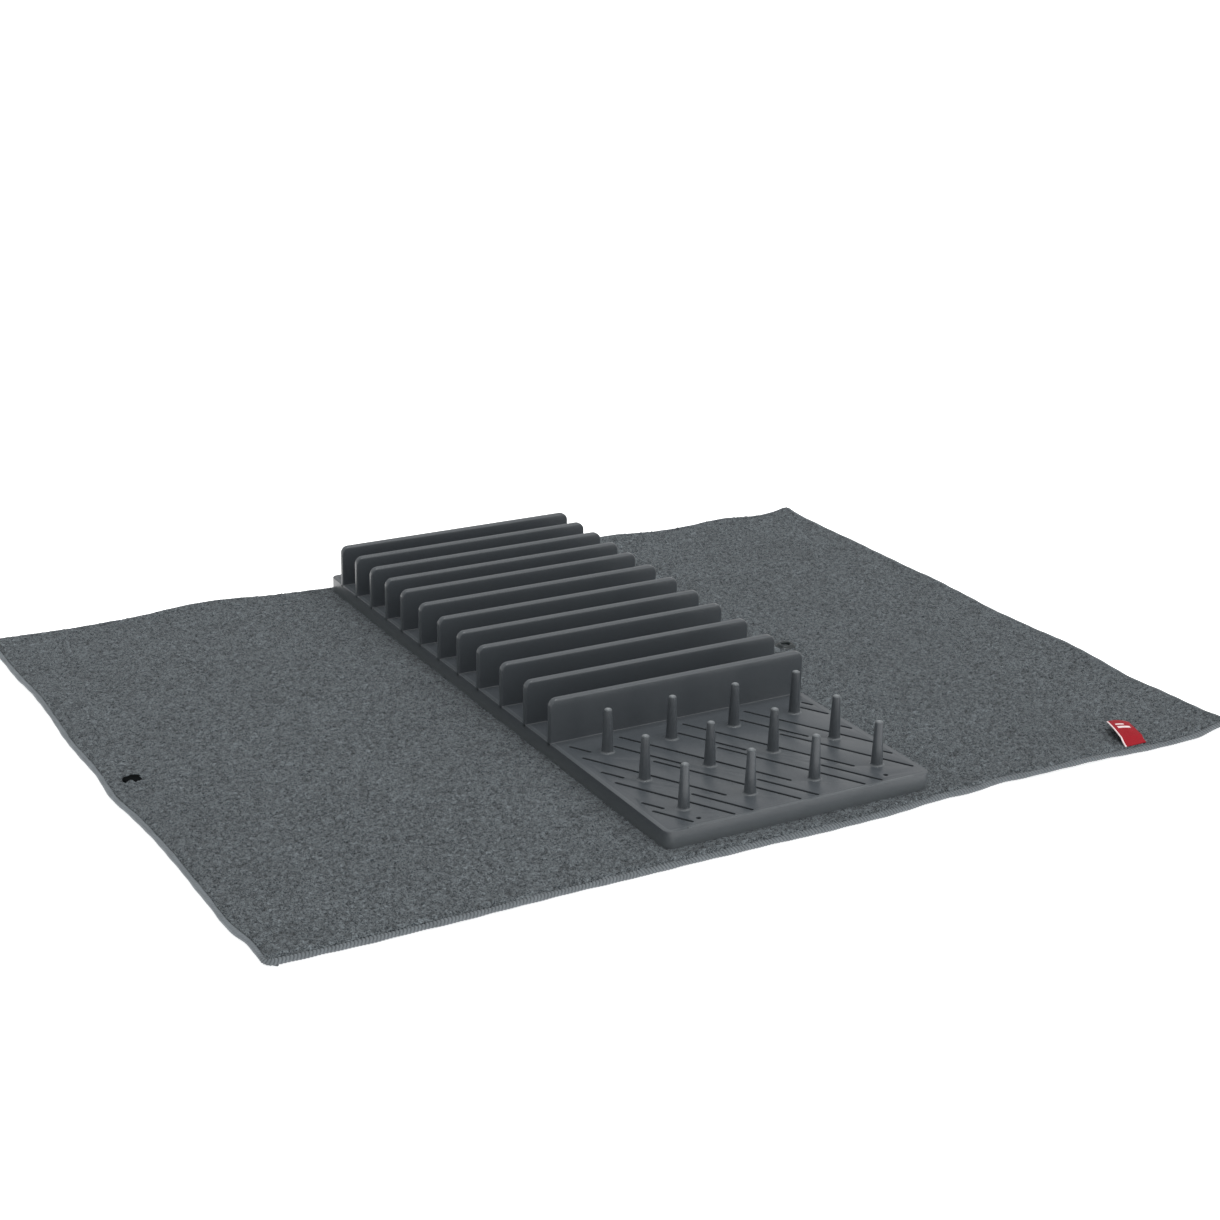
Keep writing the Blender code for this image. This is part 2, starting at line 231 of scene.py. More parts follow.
def mix(tree, factor, first, second, how="MIX"):
    made = node(tree, "Mix", data_type="RGBA", blend_type=how)
    for socket, value in ((made.inputs[0], factor), (made.inputs[6], first), (made.inputs[7], second)):
        if isinstance(value, bpy.types.NodeSocket):
            tree.links.new(value, socket)
        else:
            socket.default_value = (*value, 1) if isinstance(value, tuple) else value
    return made.outputs[2]


def shade(tree, tone, factor, *stops):
    """A tone made darker or lighter by what a ramp makes of a factor."""
    return mix(tree, 1.0, tone, ramp(tree, factor, *stops), "MULTIPLY")


def maths(tree, how, first, second=0.0):
    made = node(tree, "Math", operation=how)
    for socket, value in zip(made.inputs, (first, second)):
        if isinstance(value, bpy.types.NodeSocket):
            tree.links.new(value, socket)
        else:
            socket.default_value = value
    return made.outputs[0]


def bump(tree, shader, height, distance, strength):
    made = node(tree, "Bump", {"Height": height, "Distance": distance, "Strength": strength})
    tree.links.new(made.outputs["Normal"], shader.inputs["Normal"])


def attribute(tree, name, output="Vector"):
    return node(tree, "Attribute", attribute_name=name).outputs[output]


def curls(tree, place, scale, width, distort):
    """Thin wandering lines, from 1 on a line to 0 beside it."""
    away = maths(tree, "ABSOLUTE", maths(tree, "SUBTRACT", noise(tree, place, scale, 1.5, 0.5, distort), 0.5))
    return ramp(tree, away, (0.0, 1.0), (width * 0.45, 0.75), (width, 0.0))


def terry_material():
    """Blue-grey microfibre pile: short curly strands over a darker ground."""
    made, tree, shader = material("terry_pile", Roughness=0.95, Sheen_Weight=0.10, Sheen_Roughness=0.5)
    shader.inputs["Specular IOR Level"].default_value = 0.12
    place = attribute(tree, "flat")
    other = node(tree, "Mapping", {"Vector": place, "Location": (3.0, 7.0, 1.0)}).outputs[0]
    strands = mix(tree, 1.0, curls(tree, place, 470, 0.082, 1.3), curls(tree, other, 630, 0.076, 1.6),
                  "LIGHTEN")
    fibres = noise(tree, place, 1500, 2, 0.6)
    pile_shade = attribute(tree, "pile", "Fac")
    tone = mix(tree, strands, (0.0335, 0.0410, 0.0470), (0.161, 0.184, 0.197))
    tone = shade(tree, tone, fibres, (0.3, 0.80), (0.7, 1.15))
    tone = shade(tree, tone, noise(tree, place, 22, 3, 0.55), (0.35, 0.97), (0.65, 1.03))
    # painted shade in the pile's hollows and painted light on its tops
    tone = shade(tree, tone, pile_shade, (0.0, 0.50), (0.45, 0.95), (1.0, 1.20))
    tree.links.new(tone, shader.inputs["Base Color"])
    bump(tree, shader, strands, 0.0006, 0.9)
    return made


def hem_material():
    """Overlocked binding: fine filaments laid across the edge, with a satin shine."""
    made, tree, shader = material("binding_thread", Roughness=0.6, Sheen_Weight=0.12, Sheen_Roughness=0.4)
    shader.inputs["Specular IOR Level"].default_value = 0.3
    run, turn, thread = node(tree, "SeparateXYZ", {"Vector": attribute(tree, "stitch")}).outputs
    across = node(tree, "CombineXYZ", {"X": maths(tree, "MULTIPLY", run, 14.0), "Y": turn}).outputs[0]
    filaments = noise(tree, across, 1.0, 3, 0.6)
    streaks = noise(tree, attribute(tree, "flat"), 90, 3, 0.6)
    tone = ramp(tree, filaments, (0.3, (0.084, 0.097, 0.108)), (0.7, (0.162, 0.181, 0.193)))
    tone = shade(tree, tone, streaks, (0.3, 0.86), (0.7, 1.1))
    # painted shade between the thread's wraps, from the stitch attribute's third value
    tone = shade(tree, tone, thread, (0.0, 0.35), (0.45, 0.95), (1.0, 1.12))
    tree.links.new(tone, shader.inputs["Base Color"])
    bump(tree, shader, filaments, 0.0002, 0.6)
    return made


def backing_material():
    """Warp-knitted backing cloth: fine wales with a crossing row structure."""
    made, tree, shader = material("backing_cloth", Roughness=0.9, Sheen_Weight=0.2)
    shader.inputs["Specular IOR Level"].default_value = 0.2
    place = attribute(tree, "flat")
    parts = node(tree, "SeparateXYZ", {"Vector": place})
    wale, row = 1.6 * MM, 1.1 * MM
    wales = maths(tree, "SINE", maths(tree, "MULTIPLY", parts.outputs["X"], math.tau / wale))
    rows = maths(tree, "SINE", maths(tree, "MULTIPLY", parts.outputs["Y"], math.tau / row))
    knit = maths(tree, "ADD", maths(tree, "MULTIPLY", wales, 0.30), maths(tree, "MULTIPLY", rows, 0.20))
    fuzz = noise(tree, place, 500, 3, 0.6)
    height = maths(tree, "ADD", knit, maths(tree, "MULTIPLY", fuzz, 0.6))
    tone = ramp(tree, maths(tree, "ADD", maths(tree, "MULTIPLY", height, 0.6), 0.3),
                (0.2, (0.058, 0.067, 0.075)), (0.8, (0.118, 0.132, 0.142)))
    tone = shade(tree, tone, noise(tree, place, 25, 3), (0.3, 0.9), (0.7, 1.08))
    tree.links.new(tone, shader.inputs["Base Color"])
    bump(tree, shader, height, 0.0003, 0.7)
    return made


def plastic_material():
    """Satin polypropylene with a fine spark-eroded grain, paler on its edges (wear and painted highlight) and
    on the pegs' worn tips, with painted light on the rim's shaded foot and painted highlights on the pegs'
    flares.
    """
    made, tree, shader = material("rack_plastic", IOR=1.49)
    shader.inputs["Specular IOR Level"].default_value = 0.5
    place = node(tree, "TexCoord").outputs["Object"]
    cloud = noise(tree, place, 18, 3, 0.5)
    grain = noise(tree, place, 2600, 2, 0.6)
    stretched = node(tree, "Mapping", {"Vector": place, "Scale": (4.0, 60.0, 12.0)}).outputs[0]
    flow = noise(tree, stretched, 1.0, 3)
    edges_wear_and_highlight = node(tree, "NewGeometry").outputs["Pointiness"]
    tone = ramp(tree, cloud, (0.3, (0.0520, 0.0598, 0.0675)), (0.7, (0.0585, 0.0668, 0.0745)))
    tone = mix(tree, ramp(tree, flow, (0.45, 0.0), (0.75, 0.35)), tone, (0.065, 0.0735, 0.078))
    # edges paler: partly wear, partly a painted highlight
    tone = mix(tree, ramp(tree, edges_wear_and_highlight, (0.52, 0.0), (0.62, 0.55)), tone, (0.110, 0.122, 0.128))
    # painted light on the rim's shaded foot and painted highlights on the pegs' flares; the pegs' tips are
    # worn pale
    tone = mix(tree, attribute(tree, "wear_and_painted_light", "Fac"), tone, (0.34, 0.37, 0.38))
    tree.links.new(tone, shader.inputs["Base Color"])
    rough = ramp(tree, noise(tree, place, 60, 4, 0.6), (0.3, 0.29), (0.7, 0.39))
    tree.links.new(rough, shader.inputs["Roughness"])
    bump(tree, shader, maths(tree, "ADD", grain, maths(tree, "MULTIPLY", cloud, 0.6)), 0.00006, 0.5)
    return made


def snap_material(name, rough, shine, grey):
    """Black moulded plastic: the domed cap is dull, the socket is glossier and a little paler."""
    made, tree, shader = material(name, Roughness=rough)
    shader.inputs["Specular IOR Level"].default_value = shine
    place = node(tree, "TexCoord").outputs["Object"]
    cool = Vector((0.74, 1.0, 1.10)) * grey
    tone = ramp(tree, noise(tree, place, 300, 3), (0.3, tuple(cool * 0.6)), (0.7, tuple(cool)))
    tree.links.new(tone, shader.inputs["Base Color"])
    bump(tree, shader, noise(tree, place, 1500, 2), 0.00004, 0.5)
    return made


def label_material():
    """Woven satin label: red ground with fine ribs, a pale selvedge and two plain pale bars.

    Its "weave" attribute is in millimetres: across the ribbon, and along it from the hem.
    """
    made, tree, shader = material("label_weave", Roughness=0.6)
    shader.inputs["Specular IOR Level"].default_value = 0.15
    selvedge, rib, warp_end = 0.9, 0.45, 0.30
    bars = ((14.0, 16.4, 3.5, 12.5), (18.2, 20.0, 3.5, 9.5))
    across, along, _ = node(tree, "SeparateXYZ", {"Vector": attribute(tree, "weave")}).outputs
    ribs = maths(tree, "SINE", maths(tree, "MULTIPLY", along, math.tau / rib))
    warp = maths(tree, "SINE", maths(tree, "MULTIPLY", across, math.tau / warp_end))
    fuzz = noise(tree, attribute(tree, "weave"), 2.5, 3, 0.6)
    weave = maths(tree, "ADD", maths(tree, "MULTIPLY", ribs, 0.3), maths(tree, "MULTIPLY", warp, 0.2))
    red = ramp(tree, maths(tree, "ADD", maths(tree, "MULTIPLY", weave, 0.5), fuzz),
               (0.2, (0.19, 0.003, 0.009)), (0.85, (0.36, 0.007, 0.016)))
    pale = (0.72, 0.60, 0.60)
    tone = mix(tree, maths(tree, "LESS_THAN", across, selvedge), red, pale)
    for low, high, left, right in bars:
        inside = maths(tree, "MULTIPLY",
                       maths(tree, "MULTIPLY", maths(tree, "GREATER_THAN", along, low),
                             maths(tree, "LESS_THAN", along, high)),
                       maths(tree, "MULTIPLY", maths(tree, "GREATER_THAN", across, left),
                             maths(tree, "LESS_THAN", across, right)))
        tone = mix(tree, inside, tone, pale)
    tree.links.new(tone, shader.inputs["Base Color"])
    bump(tree, shader, weave, 0.00008, 0.7)
    return made


# ---------------------------------------------------------------- the cloth as it lies

# How each edge strays from the flat rectangle: outward shift and lift off the table, at points along it
EDGES = {
    "left": {
        "shift": [(-234, -1.9), (-221, -2.3), (-209, -2.2), (-199, -0.3), (-158, -0.2), (-100, -0.6),
                  (-53, 1.0), (-25, 3.4), (8, 1.7), (62, 1.9), (93, 0.4), (136, -0.3), (166, 0.4),
                  (211, 0.4), (234, 0.5)],
        "lift": [(-234, 0.0), (-200, 0.6), (-158, 0.2), (-90, 0.4), (-25, 0.0), (30, 0.5), (80, 0.1),
                 (136, 1.5), (180, 0.4), (211, 0.5), (234, 0.0)]},
    "right": {
        "shift": [(-234, 7.0), (-217, 6.2), (-175, 5.2), (-141, 3.8), (-91, 5.6), (0, 2.2), (60, 3.4),
                  (99, 2.0), (156, 0.6), (200, -2.0), (226, -3.5), (234, -2.5)],
        "lift": [(-234, 0.0), (-200, 0.9), (-141, 0.1), (-91, 0.9), (-40, 0.2), (40, 0.5), (99, 0.1),
                 (156, 0.3), (226, 0.3), (234, 0.0)]},
    "front": {
        "shift": [(-306, 2.5), (-234, 3.8), (-190, 4.1), (-150, 2.4), (-100, 1.6), (-20, 1.3), (26, 1.8),
                  (68, 0.2), (100, -2.7), (120, -2.6), (138, -5.6), (160, -3.2), (200, -2.3), (229, -3.3),
                  (261, -2.6), (280, -3.6), (293, -6.5), (306, -8.0)],
        "lift": [(-306, 0.3), (-270, 0.0), (-190, 0.5), (-120, 0.0), (60, 0.1), (100, 0.4), (130, 0.1),
                 (200, 1.8), (232, 0.3), (262, 0.2), (285, 0.8), (306, 2.6)]},
    "back": {
        "shift": [(-306, 2.8), (-265, 3.5), (-223, 3.5), (-187, 4.4), (-162, 5.8), (-120, 3.2), (-71, 0.4),
                  (0, 1.5), (80, 4.0), (147, 7.4), (197, 6.3), (243, 6.7), (290, 5.4), (306, 7.6)],
        "lift": [(-306, 1.5), (-265, 0.1), (-223, 0.3), (-162, 2.6), (-110, 0.5), (-71, 0.0), (0, 0.2),
                 (80, 0.6), (147, 2.6), (197, 0.2), (243, 1.6), (285, 0.4), (306, 2.8)]},
}
# How far in from an edge its shift and its lift reach
SHIFT_REACH, LIFT_REACH = 42.0, 17.0


def curve_through(points, at):
    """A smooth curve through (place, value) points, read at an array of places."""
    xs, ys = np.array(points, float).T
    slopes = np.gradient(ys, xs)
    k = np.clip(np.searchsorted(xs, at) - 1, 0, len(xs) - 2)
    gap = xs[k + 1] - xs[k]
    t = np.clip((at - xs[k]) / gap, 0, 1)
    return (ys[k] * (1 + 2 * t) * (1 - t) ** 2 + ys[k + 1] * t * t * (3 - 2 * t)
            + gap * t * (1 - t) * (slopes[k] * (1 - t) - slopes[k + 1] * t))


def laid(u, v, z):
    """Where points of the flat cloth lie: the edges stray and ripple, and the middle stays flat."""
    u, v = np.asarray(u, float), np.asarray(v, float)
    x, y = u.copy(), v.copy()
    lift = 0.10 * (1 + np.sin(u / 31.0 + 1.7 * np.sin(v / 55.0))) + 0.08 * (1 + np.sin(v / 23.0 + u / 90.0))
    for side, (inset, along) in {"left": (HALF_X + u, v), "right": (HALF_X - u, v),
                                 "front": (HALF_Y + v, u), "back": (HALF_Y - v, u)}.items():
        inset = np.maximum(inset, 0)
        shift = curve_through(EDGES[side]["shift"], along) * np.exp(-(inset / SHIFT_REACH) ** 2)
        lift = lift + curve_through(EDGES[side]["lift"], along) * np.exp(-(inset / LIFT_REACH) ** 2)
        if side in ("left", "right"):
            x += shift if side == "right" else -shift
        else:
            y += shift if side == "back" else -shift
    return np.stack([x, y, z + lift], axis=-1)


# ---------------------------------------------------------------- mesh helpers

def keep(name, vertices, faces, finish):
    """A smooth-shaded object from millimetre points and faces."""
    mesh = bpy.data.meshes.new(name)
    mesh.from_pydata(np.asarray(vertices, float) * MM, [], faces)
    mesh.polygons.foreach_set("use_smooth", [True] * len(mesh.polygons))
    mesh.materials.append(finish)
    mesh.update()
    item = bpy.data.objects.new(name, mesh)
    bpy.context.scene.collection.objects.link(item)
    return item


def store(item, name, values):
    """A point attribute: one float or one vector for each vertex."""
    values = np.asarray(values, np.float32)
    kind, key = ("FLOAT", "value") if values.ndim == 1 else ("FLOAT_VECTOR", "vector")
    made = item.data.attributes.new(name, kind, "POINT")
    made.data.foreach_set(key, values.ravel())


def mark_sharp(item, degrees):
    item.data.set_sharp_from_angle(angle=math.radians(degrees))


def strip(first, second, count):
    """Quads between two closed loops of count points, from the index where each loop starts."""
    return [(first + i, first + (i + 1) % count, second + (i + 1) % count, second + i) for i in range(count)]


def circle(radius, count, x=0.0, y=0.0):
    """Points counter-clockwise round a centre."""
    return [(x + radius * math.cos(math.tau * i / count), y + radius * math.sin(math.tau * i / count))
            for i in range(count)]


def drawn_mesh(name, curve, finish):
    """The mesh that a curve draws."""
    drawn = bpy.data.objects.new(name + "_shape", curve)
    bpy.context.scene.collection.objects.link(drawn)
    bpy.context.view_layer.update()
    mesh = bpy.data.meshes.new_from_object(drawn.evaluated_get(bpy.context.evaluated_depsgraph_get()))
    bpy.data.objects.remove(drawn, do_unlink=True)
    mesh.name = name
    mesh.materials.clear()
    mesh.materials.append(finish)
    return mesh


def smooth_field(rng, shape, reach):
    """Random values that vary over about reach cells, with mean 0 and spread 1."""
    raw = np.fft.rfft2(rng.standard_normal(shape))
    fy = np.fft.fftfreq(shape[0])[:, None]
    fx = np.fft.rfftfreq(shape[1])[None, :]
    field = np.fft.irfft2(raw * np.exp(-2 * (math.pi * reach) ** 2 * (fx ** 2 + fy ** 2)), shape)
    return (field - field.mean()) / field.std()


# ---------------------------------------------------------------- mat

# The pile grid's cell, and how many cells the sparse underside takes at a time
CELL, SPARSE = 1.04, 8
FOLDS = {name: joint_x(name + "_fold") for name in ("left_flap", "left_riser", "right_riser", "right_flap")}
SNAP_LEFT = sum(node_box("left_snap_cap"), Vector()) / 2
SNAP_RIGHT = sum(node_box("right_snap_socket"), Vector()) / 2
# The rims of the left cap and of the right socket, round which the pile stands back
CAP_RIM, SOCKET_RIM = 6.0, 6.7

# Each piece: its ends, the bodies on either side of its fold, and the fold
PIECES = {
    "left_flap": (-HALF_X, SEAM_LEFT, "left_flap", "left_riser", FOLDS["left_flap"]),
    "left_riser": (SEAM_LEFT, SEAM_MIDDLE, "left_riser", "mat_centre", FOLDS["left_riser"]),
    "right_riser": (SEAM_MIDDLE, SEAM_RIGHT, "mat_centre", "right_riser", FOLDS["right_riser"]),
    "right_flap": (SEAM_RIGHT, HALF_X, "right_riser", "right_flap", FOLDS["right_flap"]),
}


def columns():
    """The pile grid's columns over the whole mat, with one on every seam, and each piece's stretch."""
    us, spans = [], {}
    for name, (u0, u1, *_) in PIECES.items():
        u0, u1 = max(u0, -HALF_X + PILE_EDGE), min(u1, HALF_X - PILE_EDGE)
        part = np.linspace(u0, u1, round((u1 - u0) / CELL) + 1)
        start = len(us) - 1 if us else 0
        us = us[:start] + list(part)
        spans[name] = (start, len(us) - 1)
    return np.array(us), spans


def bell(distance, width, power=2):
    """1 at no distance, and falling off smoothly to either side."""
    return np.exp(-(distance / width) ** power)


def pile(us, vs):
    """The height of the pile's surface over the core, and its painted shade, from 0 in the hollows to 1 on
    the tops.
    """
    rng = np.random.default_rng(41)
    shape = (len(us), len(vs))
    strands = 1.0 - np.abs(smooth_field(rng, shape, 0.55))
    loops = smooth_field(rng, shape, 0.38)
    tufts = smooth_field(rng, shape, 1.3)
    swells = smooth_field(rng, shape, 11.0)
    height = 0.26 * strands + 0.22 * loops + 0.02 * tufts + 0.02 * swells
    u, v = us[:, None], vs[None, :]

    # a groove where the hem's needle line pulls the pile down, and a low swell beside it
    inset = np.minimum(HALF_X - np.abs(u), HALF_Y - np.abs(v)) - PILE_EDGE
    surface = PILE_Z + height - 1.35 * bell(inset, 1.1)
    surface += 0.25 * bell(inset - 4.0, 2.0)

    # the skirt presses it flat, and it dips towards the rack
    out_x = np.maximum(RACK_X0 - u, u - RACK_X1)
    out_y = np.maximum(RACK_Y0 - v, v - RACK_Y1)
    outside = np.maximum(out_x, out_y)
    pressed = (outside < 0.3) & (outside > -3.2)
    foot = BASE_LOW.z - SINK - 0.05 + 0.1 * height
    surface = np.where(pressed, np.minimum(surface, foot), surface)
    dip = (0.4 * tufts - 2.3) * bell(outside, 5.0)
    surface = np.where(pressed | (outside < 0), surface, np.maximum(surface + dip, CORE_Z + 0.3))

    # each press stud sits in a dimple, and two locks of pile lie over the left cap
    for snap, rim in ((SNAP_LEFT, CAP_RIM), (SNAP_RIGHT, SOCKET_RIM)):
        away = np.hypot(u - snap.x, v - snap.y)
        surface = np.where(away < rim - 0.8, np.minimum(surface, 3.6), surface)
        surface += 0.5 * bell(away - rim - 1.4, 1.1)
    across, along = u - SNAP_LEFT.x, np.abs(v - SNAP_LEFT.y)
    lock = bell(across, 2.3) * bell(along - 5.0, 2.2, 4)
    surface = np.maximum(surface, 3.4 + 2.2 * lock + 0.2 * height * (along < 8))
    # painted shade: the pile's relief, from 0 in its hollows to 1 on its tops
    painted_pile_shade = np.clip(0.5 + (height - height.mean()) / (3.2 * height.std()), 0, 1)
    return surface, painted_pile_shade


def slab(name, us, vs, top, under, keep_u, keep_v, finish):
    """A closed sheet: the top has every point of the grid, the underside only the kept rows and columns."""
    rows, cols = len(us), len(vs)
    u, v = np.meshgrid(us, vs, indexing="ij")
    grid = np.arange(rows * cols).reshape(rows, cols)
    faces = np.stack([grid[:-1, :-1], grid[1:, :-1], grid[1:, 1:], grid[:-1, 1:]], -1).reshape(-1, 4).tolist()
    uu, vv = u[np.ix_(keep_u, keep_v)], v[np.ix_(keep_u, keep_v)]
    low = rows * cols + np.arange(uu.size).reshape(uu.shape)
    faces += np.stack([low[:-1, :-1], low[:-1, 1:], low[1:, 1:], low[1:, :-1]], -1).reshape(-1, 4).tolist()
    surfaces = len(faces)
    for column, edge in ((0, 1), (cols - 1, -1)):
        for k in range(len(keep_u) - 1):
            run = grid[keep_u[k]:keep_u[k + 1] + 1, column].tolist()
            foot = [low[k + 1, 0 if edge > 0 else -1], low[k, 0 if edge > 0 else -1]]
            faces.append((run[::-1] + foot[::-1]) if edge > 0 else (run + foot))
    for row, edge in ((0, 1), (rows - 1, -1)):
        for k in range(len(keep_v) - 1):
            run = grid[row, keep_v[k]:keep_v[k + 1] + 1].tolist()
            foot = [low[0 if edge > 0 else -1, k + 1], low[0 if edge > 0 else -1, k]]
            faces.append((run + foot) if edge > 0 else (run[::-1] + foot[::-1]))
    points = np.concatenate([laid(u, v, top).reshape(-1, 3), laid(uu, vv, under).reshape(-1, 3)])
    item = keep(name, points, faces, finish)
    # the sides have sharp edges, so that pieces that meet shade as one surface
    for side in item.data.polygons[surfaces:]:
        for corner in side.loop_indices:
            item.data.edges[item.data.loops[corner].edge_index].use_edge_sharp = True
    flat = np.zeros((len(points), 3))
    flat[:, 0] = np.concatenate([u.ravel(), uu.ravel()]) * MM
    flat[:, 1] = np.concatenate([v.ravel(), vv.ravel()]) * MM
    store(item, "flat", flat)
    return item


def path_round(points, radius, step):
    """Points a step apart along an open line whose inner corners are turned on arcs."""
    pieces, here = [], Vector(points[0])
    for k in range(1, len(points) - 1):
        corner = Vector(points[k])
        back, on = (here - corner).normalized(), (Vector(points[k + 1]) - corner).normalized()
        start, end, centre = corner + back * radius, corner + on * radius, corner + (back + on) * radius
        pieces.append((here, start, None))
        pieces.append((start, end, centre))
        here = end
    pieces.append((here, Vector(points[-1]), None))
    line = []
    for start, end, centre in pieces:
        length = (end - start).length if centre is None else math.pi / 2 * radius
        count = max(1, round(length / step))
        for i in range(count):
            t = i / count
            if centre is None:
                line.append(start.lerp(end, t))
            else:
                a, b = start - centre, end - centre
                line.append(centre + a * math.cos(t * math.pi / 2) + b * math.sin(t * math.pi / 2))
    line.append(Vector(points[-1]))
    return np.array([tuple(p) for p in line])


# How full the overlocked roll is along the front edge; elsewhere it is slim
HEM_FULL = [(-306, 0.98), (-200, 1.0), (-60, 1.06), (120, 1.05), (230, 1.0), (306, 0.95)]


def hem_strip(points, start):
    """One length of the overlocked edge, as points and faces: a flat roll with thread wrapped round it."""
    line = path_round(points, CORNER_R, STITCH / 5)
    ahead = np.gradient(line, axis=0)
    ahead /= np.linalg.norm(ahead, axis=1)[:, None]
    inward = np.stack([ahead[:, 1], -ahead[:, 0]], -1)
    inward *= np.sign((-(line * inward).sum(1)))[:, None]
    run = start + np.concatenate([[0], np.cumsum(np.linalg.norm(np.diff(line, axis=0), axis=1))])
    sides = 16
    turn = math.tau * np.arange(sides) / sides
    wrap = np.sin(turn)
    thread = 0.5 + 0.5 * np.cos(math.tau * (run[:, None] / STITCH + 0.45 * np.sin(turn)[None, :]))
    wobble = 0.10 * np.sin(run / 7.3)[:, None] + 0.08 * np.sin(run / 2.9 + 1.0)[:, None]
    front = np.clip((16.0 - HALF_Y - line[:, 1]) / 10, 0, 1)
    full = (HEM_SLIM + (curve_through(HEM_FULL, line[:, 0]) - HEM_SLIM) * front)[:, None]
    bulge = (0.34 * thread ** 0.6 - 0.2) * (0.4 + 0.6 * front)[:, None] + wobble
    across = (HEM_W / 2 * full + bulge) * np.sign(np.cos(turn)) * np.abs(np.cos(turn)) ** 0.8
    height = (HEM_H / 2 * full + bulge) * np.sign(wrap) * np.abs(wrap) ** 0.8
    inset = HEM_W / 2 * full + HEM_GAP - across
    u = line[:, None, 0] + inward[:, None, 0] * inset
    v = line[:, None, 1] + inward[:, None, 1] * inset
    points = laid(u, v, HEM_H / 2 * full + 0.3 + height).reshape(-1, 3)
    points[:, 2] = np.maximum(points[:, 2], 0.05)
    # painted shade between the thread's wraps, strongest along the front edge
    lit = 1 - (1 - thread) * (0.3 + 0.7 * front)[:, None]
    around_run = np.repeat(turn[None, :] * 2.0, len(run), 0)
    stitch = np.stack([np.repeat(run[:, None], sides, 1), around_run, lit], -1)
    flat = np.stack([u * MM, v * MM, np.zeros_like(u)], -1)
    grid = np.arange(len(line) * sides).reshape(len(line), sides)
    around = np.roll(grid, -1, axis=1)
    faces = np.stack([grid[:-1], around[:-1], around[1:], grid[1:]], -1).reshape(-1, 4).tolist()
    faces += [grid[0, ::-1].tolist(), grid[-1].tolist()]
    return points, faces, stitch.reshape(-1, 3), flat.reshape(-1, 3)


def build_hem(name, lines, finish):
    """A piece's lengths of overlocked edge as one mesh; the thread of each length starts somewhere else."""
    points, faces, stitch, flat = [], [], [], []
    for k, line in enumerate(lines):
        made = hem_strip(line, 500.0 * k)
        base = sum(len(p) for p in points)
        faces += [[base + i for i in face] for face in made[1]]
        points.append(made[0])
        stitch.append(made[2])
        flat.append(made[3])
    item = keep(name, np.concatenate(points), faces, finish)
    store(item, "stitch", np.concatenate(stitch))
    store(item, "flat", np.concatenate(flat))
    bm = bmesh.new()
    bm.from_mesh(item.data)
    bmesh.ops.recalc_face_normals(bm, faces=bm.faces)
    for face in bm.faces:
        if len(face.verts) > 4:
            for edge in face.edges:
                edge.smooth = False
    bm.to_mesh(item.data)
    bm.free()
    return item


def build_thread_end(finish):
    """The overlock thread's tied end at the corner where the hem was begun: a knot and a short tail."""
    corner = Vector((5.4 - HALF_X, -0.4 - HALF_Y, 0))
    knot_points, points_a_loop, tail_points, thread_r = 26, 11, 6, 0.34
    path = []
    for k in range(knot_points):
        a = math.tau * k / points_a_loop
        path.append(corner + Vector((1.1 * math.sin(a), 0.6 * math.cos(1.5 * a),
                                     1.9 + 0.9 * math.sin(0.5 * a + 0.6))))
    for k in range(1, tail_points + 1):
        path.append(corner + Vector((1.2 + 0.45 * k, -0.5 - 0.28 * k, max(0.55, 1.6 - 0.45 * k))))
    curve = bpy.data.curves.new("thread_end", "CURVE")
    curve.dimensions, curve.use_fill_caps = "3D", True
    curve.bevel_depth, curve.bevel_resolution = thread_r * MM, 3
    spline = curve.splines.new("NURBS")
    spline.points.add(len(path) - 1)
    spline.use_endpoint_u, spline.order_u, spline.resolution_u = True, 3, 3
    for point, place in zip(spline.points, path):
        point.co = (*(place * MM), 1)
    mesh = drawn_mesh("left_flap_thread_end", curve, finish)
    item = bpy.data.objects.new("left_flap_thread_end", mesh)
    bpy.context.scene.collection.objects.link(item)
    points = np.array([tuple(v.co) for v in mesh.vertices])
    stitch = np.stack([points[:, 0] / MM * 4, points[:, 1] / MM, np.full(len(points), 0.5)], -1)
    store(item, "stitch", stitch)
    store(item, "flat", points)
    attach(item, "left_flap")


def hem_lines(name):
    """The outer line of each length of hem on a piece."""
    u0, u1 = PIECES[name][:2]
    if name == "left_flap":
        return [[(u1, -HALF_Y), (u0, -HALF_Y), (u0, HALF_Y), (u1, HALF_Y)]]
    if name == "right_flap":
        return [[(u0, -HALF_Y), (u1, -HALF_Y), (u1, HALF_Y), (u0, HALF_Y)]]
    return [[(u0, -HALF_Y), (u1, -HALF_Y)], [(u0, HALF_Y), (u1, HALF_Y)]]


def coarse(us, step, fold=None):
    """Indices of a sparse set of columns, close together at a fold."""
    kept = {0, len(us) - 1}
    last = 0
    for i, u in enumerate(us):
        tight = fold is not None and abs(u - fold) < BEND + 4
        if i - last >= (1 if tight else step):
            kept.add(i)
            last = i
    return np.array(sorted(kept))


def stands_for(name):
    """The CAD nodes that a mat piece's layers stand for."""
    panels = {"left_flap": ("left_flap",), "left_riser": ("left_riser",),
              "right_riser": ("centre", "right_riser"), "right_flap": ("right_flap",)}[name]
    top = [f"{panel}_{layer}" for panel in panels for layer in ("terry", "foam_core")]
    under = [f"{panel}_backing" for panel in panels]
    hem = [n for panel in panels for n in frame["nodes"]
           if n.startswith(panel + "_") and n.endswith("binding")]
    return top, under, hem


